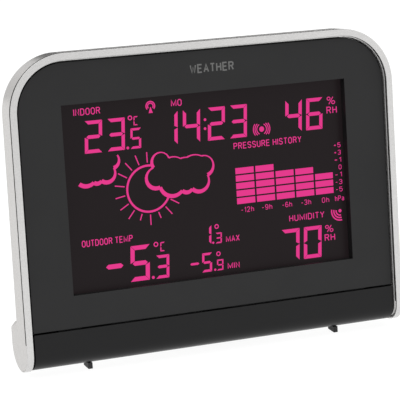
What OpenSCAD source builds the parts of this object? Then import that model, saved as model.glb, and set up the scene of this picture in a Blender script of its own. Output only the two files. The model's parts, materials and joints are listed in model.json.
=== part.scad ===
// Home weather station on a desk: a slim leaning display in a silver arch frame,
// with a battery bay in its base bar and a prop stand behind.
//
// Every sub-part is drawn upright in the housing's own frame and then leaned back
// by place(). In that frame x runs to the right, y runs from front to back with
// y = 0 on the face of the black panel, and z runs up from the bottom of the base bar.

/* [Housing] */
// Width over the silver frame
body_w = 175; // [165:1:190]
// Height of the silver frame above the bottom of the base bar
body_h = 130.2; // [125:0.2:140]
// Radius of the frame's two top corners
corner_r = 24; // [20:1:30]
// Width of the silver frame seen from the front
rim_w = 3.3; // [2.9:0.1:3.4]
// How far the frame stands in front of the panel
rim_proud = 2; // [1.8:0.1:2.4]
// Depth of the silver side band behind the panel
band_back = 9; // [9:0.5:10]
// Depth of the base bar behind the panel
base_back = 17.2; // [17:0.1:18]
// Depth of the raised back behind the panel
hump_back = 13.5; // [13.3:0.1:14]
// Backward lean of the panel in degrees
lean = 8.35; // [6:0.05:11]
// Wall thickness of the moulded shells
wall = 1.6; // [1.4:0.1:1.8]

/* [Display] */
// Width of the window in the panel
window_w = 130; // [120:1:134]
// Height of the window in the panel
window_h = 79; // [72:1:80]
// Height of the window's middle above the bottom of the base bar
window_z = 69.2; // [68:0.1:70]
// Height of the seam between the panel and the curved lower cover
seam_z = 15.8; // [15.6:0.1:16.2]

/* [Stand and feet] */
// Height of the housing's zero line above the table
seat_z = 3.9; // [3.5:0.01:4.5]
// Distance between the two front feet, middle to middle
foot_gap = 115.4; // [100:0.1:130]
// Thickness of each fin-shaped front foot
foot_w = 2; // [1.6:0.1:3]
// Height of the stand's hinge above the bottom of the base bar
hinge_z = 40; // [38:1:44]
// Distance from the stand's hinge to the middle of its rubber foot
stand_l = 46; // [44:1:48]
// Width of the stand at its hinge
stand_w = 60; // [50:1:70]

/* [Keys] */
// Distance from key to key
key_pitch = 16; // [14:1:18]
// Radius of a key cap
key_r = 3.3; // [3:0.1:3.6]
// Height of the key row
key_z = 98; // [97:1:100]

/* [Hidden] */
$fn = 96;

// Clearances: between hidden parts, round the black panel, half of the seam below it
gap = 0.25;
panel_gap = 0.7;
seam_half = 0.36;

inner_side = body_w/2 - rim_w;
inner_top = body_h - rim_w;
inner_r = corner_r - rim_w;
tall = body_h + 10;
wide = body_w/2 + 5;

// Round nose of the base bar: a small radius in front and a larger one behind
toe_y = 6.2;
toe_r = toe_y + rim_proud;
heel_r = base_back - toe_y;
nose_low = -0.5;
toe_z = toe_r + nose_low;
heel_z = heel_r + nose_low;
base_top = 17.4;

// Silver trim strip: thin front plate, groove behind it, lip inside it, and hidden leg
plate_t = 0.5;
band_t = 1.35;
lip_t = 1.4;
lip_w = 0.45;
leg_w = 1.2;
leg_d = 4;
plate_w = rim_w - 0.05;
groove_end_z = 12;

// Panel and shells
bezel_t = 2.2;
bezel_back = 3.6;
shell_front = bezel_t + 0.4;
hump_side = inner_side - 6.6;
hump_top = inner_top - 7.3;
hump_r = corner_r - 9;
skin = 0.3;
shoulder_x = 67;
shoulder_half = 17.3;
corner_room_x = 77.2;
corner_room_half = 5.2;
bay_wall = 1.2;
tab_half = 6;

// Holes in the raised back: vents over the humidity sensor, sound holes over the buzzer
vent_x = -57;
vent_z = 64;
vent_count = 7;
vent_pitch = 3;
vent_w = 1.3;
vent_h = 12;
sound_x = 60;
sound_z = 66;
sound_ring = 3.2;
sound_r = 0.7;

// Round posts that carry the screws
case_post_r = 1.9;
board_post_r = 1.8;
shell_boss_r = 2.3;
hang_boss_r = 3.4;
hang_r = 2.5;

// Display stack, front to back
glass_front = 4.25;
glass_mid = 5.05;
glass_back = 5.85;
guide_front = 6.05;
guide_back = 7.65;
board_front = 8.2;
board_back = 9.2;
board_side = 75.6;
board_top = 114.4;
board_low = 24;
glass_side = 67.5;
glass_rise = 41.8;
glass_low = board_low + 1;
light_side = 66;
light_low = 28.4;
light_h = 82.4;
holder_side = 69.8;
holder_low = board_low - 1.2;
holder_h = 90.6;
holder_wall = 2;

// Ferrite rod that receives the time signal, in the room above the board
time_rod_y = 4.8;
time_rod_z = 119.2;
time_rod_r = 1.9;

// Battery bay: three cells in line
cell_r = 5.2;
cell_l = 44.5;
cell_y = 9.6;
cell_z = 11;
bay_side = 70.5;
bay_front = 3.9;
bay_low = 5.5;
bay_top = 16.5;
door_front = 13.5;
contact_half = 4.2;

// Stand: world height of the hinge gives the angle at which the foot meets the table
hinge_y = 15.6;
pad_r = 1.7;
pin_r = 1;
barrel_r = 1.9;
knuckle_r = 2.4;
knuckle_half = 2.2;
knuckle_x = stand_w/2 + 2.6;
leaf_half_t = 1.2;
hinge_height = -hinge_y*sin(lean) + hinge_z*cos(lean) + seat_z;
open_angle = acos((hinge_height - pad_r)/stand_l) + lean;

// Footprint in y, so that the origin lies under the middle of the whole object
front_y = toe_y*cos(lean) + toe_z*sin(lean) - toe_r;
rear_y = hinge_y*cos(lean) + hinge_z*sin(lean) + stand_l*sin(open_angle - lean) + pad_r;

screw_spots = [[-81.1, 32], [81.1, 32], [-81.1, 88], [81.1, 88], [-40, 123.6], [40, 123.6]];
board_spots = [[-72.3, 30], [72.3, 30], [-72.3, 100], [72.3, 100]];
tab_spots = [-55, 0, 55];
key_count = 6;
knob_x = -60;
knob_z = 92;
knob_travel = 3;
inlet_x = 77.8;
inlet_z = 11;
hang_x = 60;
hang_z = 108;

// ---------- helpers ----------

// Lean the upright housing back and stand it on the table
module place() {
    translate([0, -(front_y + rear_y)/2, seat_z]) rotate([-lean, 0, 0]) children();
}

// Give an x-z outline thickness from y0 to y1
module slab(y0, y1) {
    translate([0, y1, 0]) rotate([90, 0, 0]) linear_extrude(y1 - y0) children();
}

// Give a y-z outline length from x0 to x1
module bar(x0, x1) {
    translate([x0, 0, 0]) rotate([90, 0, 90]) linear_extrude(x1 - x0) children();
}

module block(x0, x1, y0, y1, z0, z1) {
    translate([x0, y0, z0]) cube([x1 - x0, y1 - y0, z1 - z0]);
}

// Round rod along y
module rod_y(x, z, y0, y1, r) {
    translate([x, y1, z]) rotate([90, 0, 0]) cylinder(h = y1 - y0, r = r);
}

// Round rod along x
module rod_x(y, z, x0, x1, r) {
    translate([x0, y, z]) rotate([0, 90, 0]) cylinder(h = x1 - x0, r = r);
}

// Outline with two round top corners
module arch(side, top, r, low = -5) {
    translate([-side, low]) square([2*side, top - r - low]);
    translate([r - side, low]) square([2*(side - r), top - low]);
    for (s = [-1, 1]) translate([s*(side - r), top - r]) circle(r);
}

// Band between two arches, u0 and u1 outside the frame's inner edge, open below
module arch_band(u0, u1) {
    difference() {
        arch(inner_side + u1, inner_top + u1, inner_r + u1);
        arch(inner_side + u0, inner_top + u0, inner_r + u0, -6);
    }
}

// Side view of the frame's front half, k inside its surface
module toe(k) {
    intersection() {
        translate([toe_y, toe_z]) circle(toe_r - k);
        translate([-5, -1]) square([toe_y + 5, toe_z + 1]);
    }
    translate([k - rim_proud, toe_z]) square([toe_y + rim_proud - k, tall]);
}

// Side view of the base bar's rear half, k inside its surface
module heel(k) {
    intersection() {
        translate([toe_y, heel_z]) circle(heel_r - k);
        translate([toe_y, -1]) square([heel_r + 1, heel_z + 1]);
    }
    translate([toe_y, heel_z]) square([heel_r - k, base_top - heel_z - k]);
}

// Sloped shoulder that leads from the base bar up to the side band
module shoulder() {
    polygon([[band_back - 1, base_top - 1], [base_back, base_top - 1], [base_back, base_top],
        [base_back - 1.7, base_top + 2.2], [band_back - 1, base_top + 4.1]]);
}

// Side view of the lower cover, k inside its surface
module chin(k) {
    chin_r = 7;
    chin_y = 6.5;
    chin_z = 6.85;
    intersection() {
        translate([chin_y, chin_z]) circle(chin_r - k);
        translate([-2, -1]) square([chin_y + 2, chin_z + 1]);
    }
    translate([chin_y - chin_r + k, chin_z]) square([chin_r - k, seam_z - seam_half - chin_z]);
}

function spot_x(list, i) = list[i][0];
function spot_z(list, i) = list[i][1];

// Screw with a round head at head_y and a shank that runs forward to tip_y
module screw(x, z, head_y, tip_y, head_r, shank_r) {
    difference() {
        rod_y(x, z, head_y, head_y + 1, head_r);
        rod_y(x, z, head_y + 0.5, head_y + 1.1, head_r*0.45);
    }
    rod_y(x, z, tip_y, head_y + 0.2, shank_r);
}

// Round wire along a list of points: one ring of corners round each point
function unit(v) = v/norm(v);
function along(p, i) = unit(p[min(i + 1, len(p) - 1)] - p[max(i - 1, 0)]);
function side_of(p, i, up) = unit(cross(along(p, i), up));
module wire(p, r, up) {
    n = 8;
    m = len(p);
    rings = [for (i = [0:m - 1], j = [0:n - 1])
        let (t = along(p, i), a = side_of(p, i, up), b = cross(t, a), q = 360*j/n)
            p[i] + r*(cos(q)*a + sin(q)*b)];
    walls = [for (i = [0:m - 2], j = [0:n - 1])
        [i*n + j, (i + 1)*n + j, (i + 1)*n + (j + 1)%n, i*n + (j + 1)%n]];
    first = [[for (j = [0:n - 1]) j]];
    last = [[for (j = [n - 1:-1:0]) (m - 1)*n + j]];
    polyhedron(rings, concat(walls, first, last));
}

// ---------- housing ----------

module front_bezel() {
    color([0.19, 0.19, 0.2]) place() {
        difference() {
            union() {
                slab(0, bezel_t)
                    arch(inner_side - panel_gap, inner_top - panel_gap, inner_r - panel_gap, seam_z + seam_half);
                slab(bezel_t - 0.1, bezel_back) translate([0, window_z])
                    square([window_w + 4, window_h + 4], center = true);
                for (i = [0:5])
                    rod_y(spot_x(screw_spots, i), spot_z(screw_spots, i), 1.5, 5.5, case_post_r);
                for (i = [0:3])
                    rod_y(spot_x(board_spots, i), spot_z(board_spots, i), 1.5, board_front, board_post_r);
            }
            slab(-1, bezel_back + 1) translate([0, window_z]) square([window_w, window_h], center = true);
            for (i = [0:5]) rod_y(spot_x(screw_spots, i), spot_z(screw_spots, i), 2.8, 6, 1);
            for (i = [0:3]) rod_y(spot_x(board_spots, i), spot_z(board_spots, i), 3.5, 9, 0.85);
        }
    }
}

module lower_cover() {
    end = inner_side - panel_gap;
    side_wall = 1.2;
    foot_room_x = 77;
    color([0.16, 0.16, 0.17]) place() {
        difference() {
            bar(-end, end) chin(0);
            bar(-end + side_wall, end - side_wall) chin(wall);
            block(-wide, wide, toe_y, toe_y + 5, -1, tall);
            for (s = [-1, 1]) block(s*foot_room_x - 8, s*foot_room_x + 8, 1.3, 8, 3, tall);
        }
        for (x = tab_spots) {
            block(x - tab_half, x + tab_half, 0.8, 3.2, 12.6, 14);
            block(x - tab_half, x + tab_half, bezel_t + 0.15, 3.2, 12.6, seam_z + 1.8);
        }
    }
}

module front_trim() {
    color([0.84, 0.84, 0.84]) place() {
        intersection() {
            slab(-3, toe_y) arch_band(lip_w, plate_w);
            bar(-wide, wide) difference() {
                toe(0);
                toe(plate_t);
            }
        }
        intersection() {
            slab(-3, toe_y) arch_band(lip_w, leg_w);
            bar(-wide, wide) difference() {
                toe(0);
                toe(leg_d);
            }
        }
        intersection() {
            slab(-3, toe_y) arch_band(0, leg_w);
            bar(-wide, wide) difference() {
                toe(lip_t);
                toe(leg_d);
            }
        }
    }
}

module side_frame() {
    color([0.8, 0.8, 0.8]) place() {
        difference() {
            union() {
                intersection() {
                    slab(-3, toe_y) arch_band(0, rim_w);
                    bar(-wide, wide) toe(band_t);
                }
                intersection() {
                    slab(-3, toe_y) arch_band(leg_w, rim_w);
                    bar(-wide, wide) intersection() {
                        toe(plate_t + 0.02);
                        translate([-5, -1]) square([20, groove_end_z + 1]);
                    }
                }
                intersection() {
                    slab(toe_y - 0.1, base_back + 1) arch_band(0, rim_w);
                    bar(-wide, wide) {
                        heel(0);
                        shoulder();
                        translate([toe_y - 0.1, heel_z]) square([band_back - toe_y + 0.1, tall]);
                    }
                }
            }
            intersection() {
                slab(-4, toe_y) arch_band(-1, leg_w + 0.1);
                bar(-wide, wide) difference() {
                    toe(-1);
                    toe(leg_d + 0.1);
                }
            }
            for (s = [-1, 1]) slab(band_back, base_back + 1)
                polygon([[s*(body_w/2 + 0.01), base_top - 0.5], [s*(body_w/2 - 2.6), base_top + 4.4],
                    [s*wide, base_top + 4.4], [s*wide, base_top - 0.5]]);
        }
    }
}

// Solid outer form of the rear shell
module shell_form() {
    end = inner_side - gap;
    slab(shell_front, band_back) arch(end, inner_top - gap, inner_r - gap, seam_z + 2.2);
    slab(band_back - 0.1, hump_back) arch(hump_side, hump_top, hump_r, base_top - 1);
    difference() {
        bar(-end, end) {
            heel(skin);
            translate([toe_y, base_top - 2]) square([hump_back - toe_y, 4]);
        }
        block(-wide, wide, 0, toe_y + 0.2, -1, base_top - 1.5);
    }
    for (s = [-1, 1]) bar(s*shoulder_x - shoulder_half, s*shoulder_x + shoulder_half) intersection() {
        shoulder();
        square([base_back - skin, tall]);
    }
    block(-bay_side - bay_wall, bay_side + bay_wall, bay_front - 1, toe_y + 1, bay_low - 1.1, base_top);
    block(-bay_side - bay_wall, bay_side + bay_wall, shell_front, toe_y + 1, seam_z + 2.2, base_top + 2);
}

// Space inside the rear shell
module shell_room() {
    side = inner_side - gap - wall;
    slab(0, band_back - wall) arch(side, inner_top - gap - wall, inner_r - gap - wall, base_top + 1.6);
    slab(0, hump_back - wall) arch(hump_side - wall, hump_top - wall, hump_r - wall, base_top + 1.6);
    for (s = [-1, 1])
        bar(s*corner_room_x - corner_room_half, s*corner_room_x + corner_room_half) intersection() {
        union() {
            heel(skin + wall);
            translate([toe_y, base_top - 2]) square([hump_back - wall - toe_y, 3.8]);
        }
        translate([0, 2.5]) square([base_back, tall]);
    }
    block(-bay_side, bay_side, bay_front, base_back + 1, bay_low, bay_top);
}

module rear_shell() {
    color([0.13, 0.13, 0.14]) place() {
        difference() {
            union() {
                difference() {
                    shell_form();
                    shell_room();
                }
                for (i = [0:5])
                    rod_y(spot_x(screw_spots, i), spot_z(screw_spots, i), 5.7, band_back - 0.5, shell_boss_r);
                for (s = [-1, 1]) rod_y(s*hang_x, hang_z, 9.7, hump_back - 0.5, hang_boss_r);
                for (s = [-1, 1]) {
                    rod_x(hinge_y, hinge_z, s*knuckle_x - knuckle_half, s*knuckle_x + knuckle_half, knuckle_r);
                    block(s*knuckle_x - knuckle_half, s*knuckle_x + knuckle_half,
                        hump_back - 0.5, hinge_y, hinge_z - knuckle_r, hinge_z + knuckle_r);
                }
            }
            rod_x(hinge_y, hinge_z, -wide, wide, pin_r + 0.02);
            for (i = [0:5]) {
                rod_y(spot_x(screw_spots, i), spot_z(screw_spots, i), 5, 10, 1.15);
                rod_y(spot_x(screw_spots, i), spot_z(screw_spots, i), 7.8, 10, 2.25);
                rod_y(spot_x(screw_spots, i), spot_z(screw_spots, i), 2, 5.65, 2.1);
            }
            for (s = [-1, 1]) rod_y(s*hang_x, hang_z, hump_back - 3, hump_back + 1, hang_r);
            for (i = [0:key_count - 1]) rod_y(key_x(i), key_z, hump_back - 2, hump_back + 1, key_r + 0.15);
            slab(hump_back - 2, hump_back + 1) translate([knob_x + knob_travel/2, knob_z])
                square([knob_travel + 4.2, 3.4], center = true);
            for (i = [0:vent_count - 1]) slab(hump_back - 2, hump_back + 1)
                translate([vent_x + vent_pitch*(i - (vent_count - 1)/2), vent_z])
                    square([vent_w, vent_h], center = true);
            for (a = [0:60:300])
                rod_y(sound_x + sound_ring*cos(a), sound_z + sound_ring*sin(a),
                    hump_back - 2, hump_back + 1, sound_r);
            rod_y(sound_x, sound_z, hump_back - 2, hump_back + 1, sound_r);
            rod_y(inlet_x, inlet_z, 12, base_back + 1, 2.7);
            for (x = tab_spots) block(x - tab_half - 0.5, x + tab_half + 0.5, 1, 3.4, 12, seam_z + 2.3);
        }
    }
}

module battery_door() {
    grip_half = 9;
    grip_z = 13.4;
    grip_pitch = 1.1;
    color([0.13, 0.13, 0.14]) place() {
        bar(-bay_side + gap, bay_side - gap) intersection() {
            difference() {
                heel(skin);
                heel(skin + wall);
            }
            translate([door_front, bay_low + gap]) square([base_back, bay_top - bay_low - 2*gap]);
        }
        for (i = [-2:2]) bar(-grip_half, grip_half) translate([base_back - 0.6, grip_z + grip_pitch*i - 0.2])
            square([0.6, 0.45]);
    }
}

module left_foot() { foot(-1); }
module right_foot() { foot(1); }

// Fin under the base bar, cut off along the table
module foot(s) {
    front = 5.5;
    back = 11.3;
    root = [[back, 0.55], [8.4, -0.15], [7.2, -0.4], [front, -0.4]];
    color([0.1, 0.1, 0.1]) place() bar(s*foot_gap/2 - foot_w/2, s*foot_gap/2 + foot_w/2)
        polygon(concat([[front, (front*sin(lean) - seat_z)/cos(lean)],
            [back, (back*sin(lean) - seat_z)/cos(lean)]], root));
}

// ---------- stand ----------

module at_hinge() {
    place() translate([0, hinge_y, hinge_z]) rotate([open_angle, 0, 0]) children();
}

module stand() {
    half = stand_w/2;
    end = half - 6;
    color([0.13, 0.13, 0.14]) at_hinge() {
        difference() {
            union() {
                rod_x(0, 0, -half, half, barrel_r);
                slab(-leaf_half_t, leaf_half_t) polygon([[-half, 0], [half, 0], [end, -stand_l + 4],
                    [end - 2, -stand_l + 1.2], [2 - end, -stand_l + 1.2], [-end, -stand_l + 4]]);
                block(-end + 2, end - 2, -0.5, 0.5, -stand_l, -stand_l + 2);
            }
            rod_x(0, 0, -wide, wide, pin_r + 0.05);
            slab(0.5, 2) polygon([[-half + 6, -7], [half - 6, -7], [end - 5, -stand_l + 8],
                [5 - end, -stand_l + 8]]);
        }
    }
}

module stand_pin() {
    reach = knuckle_x + knuckle_half - 0.2;
    color([0.7, 0.7, 0.72]) place() rod_x(hinge_y, hinge_z, -reach, reach, pin_r);
}

module stand_pad() {
    end = stand_w/2 - 8;
    color([0.08, 0.08, 0.08]) at_hinge() difference() {
        rod_x(0, -stand_l, -end, end, pad_r);
        block(-wide, wide, -0.52, 0.52, -stand_l - 0.02, 0);
        block(-wide, wide, -3, 3, -stand_l + 1.15, 0);
    }
}

// ---------- display ----------

// Rectangle round the middle of the window, seen from the front
module pane(half_w, half_h) {
    translate([0, window_z]) square([2*half_w, 2*half_h], center = true);
}

module screen_gasket() {
    color([0.1, 0.1, 0.1]) place() slab(bezel_back, glass_front - 0.2) difference() {
        pane(window_w/2 + 2, window_h/2 + 2);
        pane(window_w/2 + 0.2, window_h/2 + 0.2);
    }
}

module front_polariser() {
    color([0.14, 0.13, 0.14]) place() slab(glass_front - 0.2, glass_front)
        pane(window_w/2 + 2, window_h/2 + 2);
}

module display_glass() {
    color([0.3, 0.32, 0.32]) place() {
        slab(glass_front, glass_mid) pane(glass_side, glass_rise);
        slab(glass_mid - 0.01, glass_back) translate([-glass_side, glass_low])
            square([2*glass_side, window_z + glass_rise - glass_low]);
    }
}

// Outline of the sheets that spread the backlight
module light_pane() {
    translate([-light_side, light_low]) square([2*light_side, light_h]);
}

module diffuser_sheet() {
    color([0.93, 0.93, 0.93]) place() slab(glass_back, guide_front) light_pane();
}

module light_guide() {
    color([0.85, 0.9, 0.95]) place() slab(guide_front, guide_back) light_pane();
}

module reflector_sheet() {
    color([0.97, 0.97, 0.97]) place() slab(guide_back, guide_back + 0.15) light_pane();
}

module display_holder() {
    color([0.9, 0.9, 0.88]) place() slab(4.1, board_front - 0.1) difference() {
        translate([-holder_side, holder_low]) square([2*holder_side, holder_h]);
        translate([holder_wall - holder_side, holder_low + holder_wall])
            square([2*(holder_side - holder_wall), holder_h - 2*holder_wall]);
    }
}

module backlight_leds() {
    color([0.95, 0.3, 0.6]) place() for (i = [0:3])
        block(-67.7, -light_side - 0.1, 6.2, 7.6, 38 + 20*i, 41 + 20*i);
}

module rubber_connector() {
    color([0.25, 0.25, 0.28]) place() block(-58, 58, glass_back, board_front, board_low + 1.1, board_low + 3.3);
}

// ---------- electronics ----------

module main_board() {
    color([0.1, 0.35, 0.2]) place() slab(board_front, board_back) difference() {
        arch(board_side, board_top, 12, board_low);
        for (i = [0:3]) translate([spot_x(board_spots, i), spot_z(board_spots, i)]) circle(1.1);
    }
}

module processor() {
    color([0.08, 0.08, 0.08]) place() {
        block(-7, 7, board_back, board_back + 1.2, 72, 86);
        for (i = [0:11]) {
            block(-8.4, 8.4, board_back, board_back + 0.3, 72.8 + 1.1*i, 73.3 + 1.1*i);
            block(-6.2 + 1.1*i, -5.7 + 1.1*i, board_back, board_back + 0.3, 70.6, 87.4);
        }
    }
}

module radio_module() {
    color([0.1, 0.25, 0.5]) place() {
        block(26, 48, board_back, board_back + 0.8, 74, 88);
        block(29, 39, board_back + 0.7, board_back + 1.9, 77, 85);
        rod_y(43.5, 81, board_back + 0.7, board_back + 2.1, 2.2);
    }
}

// Straight wire aerial, a fraction of the radio's wavelength long
module radio_antenna() {
    color([0.75, 0.45, 0.25]) place() {
        rod_y(49.5, 84, board_back, board_back + 1.35, 0.4);
        rod_x(board_back + 1.3, 84, 49.1, 74, 0.4);
    }
}

module time_antenna_rod() {
    color([0.18, 0.18, 0.18]) place() rod_x(time_rod_y, time_rod_z, -26, 26, time_rod_r);
}

module time_antenna_coil() {
    color([0.72, 0.4, 0.2]) place() difference() {
        rod_x(time_rod_y, time_rod_z, -11, 11, time_rod_r + 0.4);
        rod_x(time_rod_y, time_rod_z, -12, 12, time_rod_r + 0.03);
    }
}

module pressure_sensor() {
    color([0.7, 0.7, 0.7]) place() difference() {
        block(-34, -30, board_back, board_back + 1, 60, 63.6);
        rod_y(-32, 61.8, board_back + 0.4, board_back + 2, 0.4);
    }
}

module humidity_sensor() {
    color([0.9, 0.9, 0.9]) place() difference() {
        block(-62, -56, board_back, board_back + 1.6, 60, 67);
        for (i = [0:3]) block(-61, -57, board_back + 1, board_back + 2, 61 + 1.5*i, 61.7 + 1.5*i);
    }
}

module buzzer() {
    color([0.12, 0.12, 0.12]) place() difference() {
        rod_y(sound_x, sound_z, board_back, board_back + 2.4, 6);
        rod_y(sound_x, sound_z, board_back + 1.6, board_back + 3, 1.2);
    }
}

function key_x(i) = key_pitch*(i - (key_count - 1)/2);

module key_switches() {
    color([0.2, 0.2, 0.22]) place() for (i = [0:key_count - 1]) {
        block(key_x(i) - 2.4, key_x(i) + 2.4, board_back, board_back + 0.9, key_z - 2.4, key_z + 2.4);
        rod_y(key_x(i), key_z, board_back + 0.8, board_back + 1.35, 1.2);
    }
}

// Key cap: flange under the shell, dished face outside
module key(i) {
    color([0.15, 0.15, 0.16]) place() difference() {
        union() {
            rod_y(key_x(i), key_z, hump_back - 2.3, hump_back + 0.8, key_r);
            rod_y(key_x(i), key_z, hump_back - 2.5, hump_back - 1.8, key_r + 0.9);
        }
        translate([key_x(i), hump_back + 6.4, key_z]) sphere(6);
    }
}
module key_1() { key(0); }
module key_2() { key(1); }
module key_3() { key(2); }
module key_4() { key(3); }
module key_5() { key(4); }
module key_6() { key(5); }

module slide_switch() {
    color([0.6, 0.6, 0.62]) place() block(knob_x - 4, knob_x + knob_travel + 4, board_back, board_back + 1.3,
        knob_z - 2.2, knob_z + 2.2);
}

module slide_knob() {
    color([0.15, 0.15, 0.16]) place() {
        block(knob_x - 1.8, knob_x + 1.8, hump_back - 2.4, hump_back + 0.9, knob_z - 1.5, knob_z + 1.5);
        block(knob_x - 5.4, knob_x + 5.4, hump_back - 2.5, hump_back - 1.9, knob_z - 2.6, knob_z + 2.6);
        for (i = [-1:1]) block(knob_x + 1.1*i - 0.2, knob_x + 1.1*i + 0.2,
            hump_back + 0.8, hump_back + 1.15, knob_z - 1.5, knob_z + 1.5);
    }
}

module power_inlet() {
    color([0.1, 0.1, 0.1]) place() {
        difference() {
            union() {
                block(inlet_x - 4, inlet_x + 4, 6.6, 14.2, inlet_z - 3.6, inlet_z + 3.6);
                rod_y(inlet_x, inlet_z, 14, base_back - 0.5, 2.6);
            }
            rod_y(inlet_x, inlet_z, 8, base_back + 1, 1.8);
        }
        rod_y(inlet_x, inlet_z, 7.8, base_back - 1.5, 0.6);
    }
}

// ---------- battery bay ----------

// Conical spring at the negative end
module battery_spring() {
    turns = 5;
    steps = 12*turns;
    end_x = -bay_side + 0.6;
    free = 4.8;
    coil = [for (i = [0:steps]) let (t = i/steps, r = 4 - 1.4*t, q = 360*turns*t)
        [end_x + 0.35 + free*t, cell_y + r*sin(q), cell_z + r*cos(q)]];
    color([0.75, 0.75, 0.78]) place() {
        wire(coil, 0.33, [1, 0, 0.001]);
        block(-bay_side + 0.1, end_x, cell_y - contact_half, cell_y + contact_half,
            cell_z - contact_half, cell_z + contact_half);
    }
}

module battery_plate() {
    color([0.75, 0.75, 0.78]) place() {
        block(bay_side - 0.6, bay_side - 0.1, cell_y - contact_half, cell_y + contact_half,
            cell_z - contact_half, cell_z + contact_half);
        rod_x(cell_y, cell_z, bay_side - 1.2, bay_side - 0.5, 2.2);
    }
}

// Cell with its positive button towards +x
module cell(i) {
    x = bay_side - 1.25 - cell_l*(3 - i);
    color([0.2, 0.25, 0.3]) place() {
        rod_x(cell_y, cell_z, x, x + cell_l - 1, cell_r);
        rod_x(cell_y, cell_z, x + cell_l - 1.1, x + cell_l - 0.02, 1.9);
    }
}
module cell_1() { cell(0); }
module cell_2() { cell(1); }
module cell_3() { cell(2); }

// Two leads from the bay's ends up to the board
module power_leads() {
    color([0.7, 0.1, 0.1]) place() for (s = [-1, 1])
        wire([[s*73.4, 11.2, 14.8], [s*73.6, 11.3, 16.8], [s*73.8, 11.1, 19], [s*73.9, 10.7, 21.4],
            [s*73.9, 10.2, 23.8], [s*73.8, 9.85, 26.2], [s*73.6, 9.72, 28]], 0.45, [1, 0, 0]);
}

// ---------- fasteners ----------

module case_screws() {
    color([0.6, 0.6, 0.62]) place() for (i = [0:5])
        screw(spot_x(screw_spots, i), spot_z(screw_spots, i), 7.85, 3, 2, 0.95);
}

module board_screws() {
    color([0.75, 0.75, 0.77]) place() for (i = [0:3])
        screw(spot_x(board_spots, i), spot_z(board_spots, i), board_back + 0.02, 4, 1.9, 0.8);
}

front_bezel();
lower_cover();
front_trim();
side_frame();
rear_shell();
battery_door();
stand();
stand_pin();
stand_pad();
left_foot();
right_foot();
screen_gasket();
front_polariser();
display_glass();
diffuser_sheet();
light_guide();
reflector_sheet();
display_holder();
backlight_leds();
rubber_connector();
main_board();
processor();
radio_module();
radio_antenna();
time_antenna_rod();
time_antenna_coil();
pressure_sensor();
humidity_sensor();
buzzer();
key_switches();
key_1();
key_2();
key_3();
key_4();
key_5();
key_6();
slide_switch();
slide_knob();
power_inlet();
battery_spring();
battery_plate();
cell_1();
cell_2();
cell_3();
power_leads();
case_screws();
board_screws();
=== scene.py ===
# %% [markdown]
# # A home weather station, finished in Blender
# The CAD model says where every part is and how it moves. This script keeps that
# frame as it is and adds what the eye wants: soft edges on the mouldings, real
# finishes, the lit figures of the display, and a small photo studio round it all.

# %% Load the frame
import json
import math
import bmesh
import bpy
import numpy as np
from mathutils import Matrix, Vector


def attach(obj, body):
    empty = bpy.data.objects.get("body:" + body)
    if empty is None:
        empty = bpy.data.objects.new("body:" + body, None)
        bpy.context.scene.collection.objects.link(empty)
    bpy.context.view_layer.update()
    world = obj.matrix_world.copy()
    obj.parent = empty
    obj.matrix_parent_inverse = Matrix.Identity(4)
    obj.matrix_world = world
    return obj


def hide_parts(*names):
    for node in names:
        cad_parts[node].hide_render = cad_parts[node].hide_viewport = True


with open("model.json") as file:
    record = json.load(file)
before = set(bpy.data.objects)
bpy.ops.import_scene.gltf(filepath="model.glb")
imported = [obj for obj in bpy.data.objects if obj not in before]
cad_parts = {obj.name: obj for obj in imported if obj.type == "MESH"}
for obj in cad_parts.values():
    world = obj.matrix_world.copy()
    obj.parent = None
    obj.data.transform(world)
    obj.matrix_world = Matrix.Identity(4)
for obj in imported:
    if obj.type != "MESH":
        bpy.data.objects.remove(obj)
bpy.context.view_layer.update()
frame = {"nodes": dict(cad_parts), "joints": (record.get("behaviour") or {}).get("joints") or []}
nodes = frame["nodes"]

# %% [markdown]
# ## The housing's own directions
# The display leans back a few degrees, so nothing on its face is upright in the
# world. It is much easier to draw on the face in the housing's own millimetres:
# x to the right, y from the panel's face backwards, z up from the bottom edge.
# The battery door slides straight back and the stand turns on a known axle, so
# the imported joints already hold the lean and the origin, and nothing is guessed.

# %% Housing millimetres to world metres
MM = 0.001
joint = {j["name"]: j for j in frame["joints"]}
backward = Vector(joint["door_slide"]["axis"])
LEAN = math.atan2(-backward.z, backward.y)
HINGE = (0.0, 15.6, 40.0)


def leaned(x, y, z):
    """Turns (x, y, z) about the x axis by the lean: y' = y cos + z sin, z' = z cos - y sin."""
    c, s = math.cos(LEAN), math.sin(LEAN)
    x, y, z = np.broadcast_arrays(np.asarray(x, float), y, z)
    return np.stack([x, y*c + z*s, z*c - y*s], -1)


ORIGIN = np.array(joint["stand_hinge"]["pos_m"])/MM - leaned(*HINGE)


def housing(x, y, z):
    """Housing millimetres to world metres: lean, then shift by where the hinge's axle is."""
    return (leaned(x, y, z) + ORIGIN)*MM


print("lean", round(math.degrees(LEAN), 2), "degrees; origin at", ORIGIN.round(2), "mm")

# %% [markdown]
# ## Camera
# A product shot from slightly above and from the left, with a long lens from
# nearly a metre away, so that the upright edges of the frame stay almost
# parallel. Depth of field stays off: everything in a small product shot is sharp.

# %% Camera
CAMERA_AZIMUTH = math.radians(-23.75)
CAMERA_ELEVATION = math.radians(15.57)
CAMERA_DISTANCE = 0.8981
CAMERA_AIM = Vector((0.0003, 0.00046, 0.06232))
LENS_MM, SENSOR_MM = 188.2, 36.0

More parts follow.
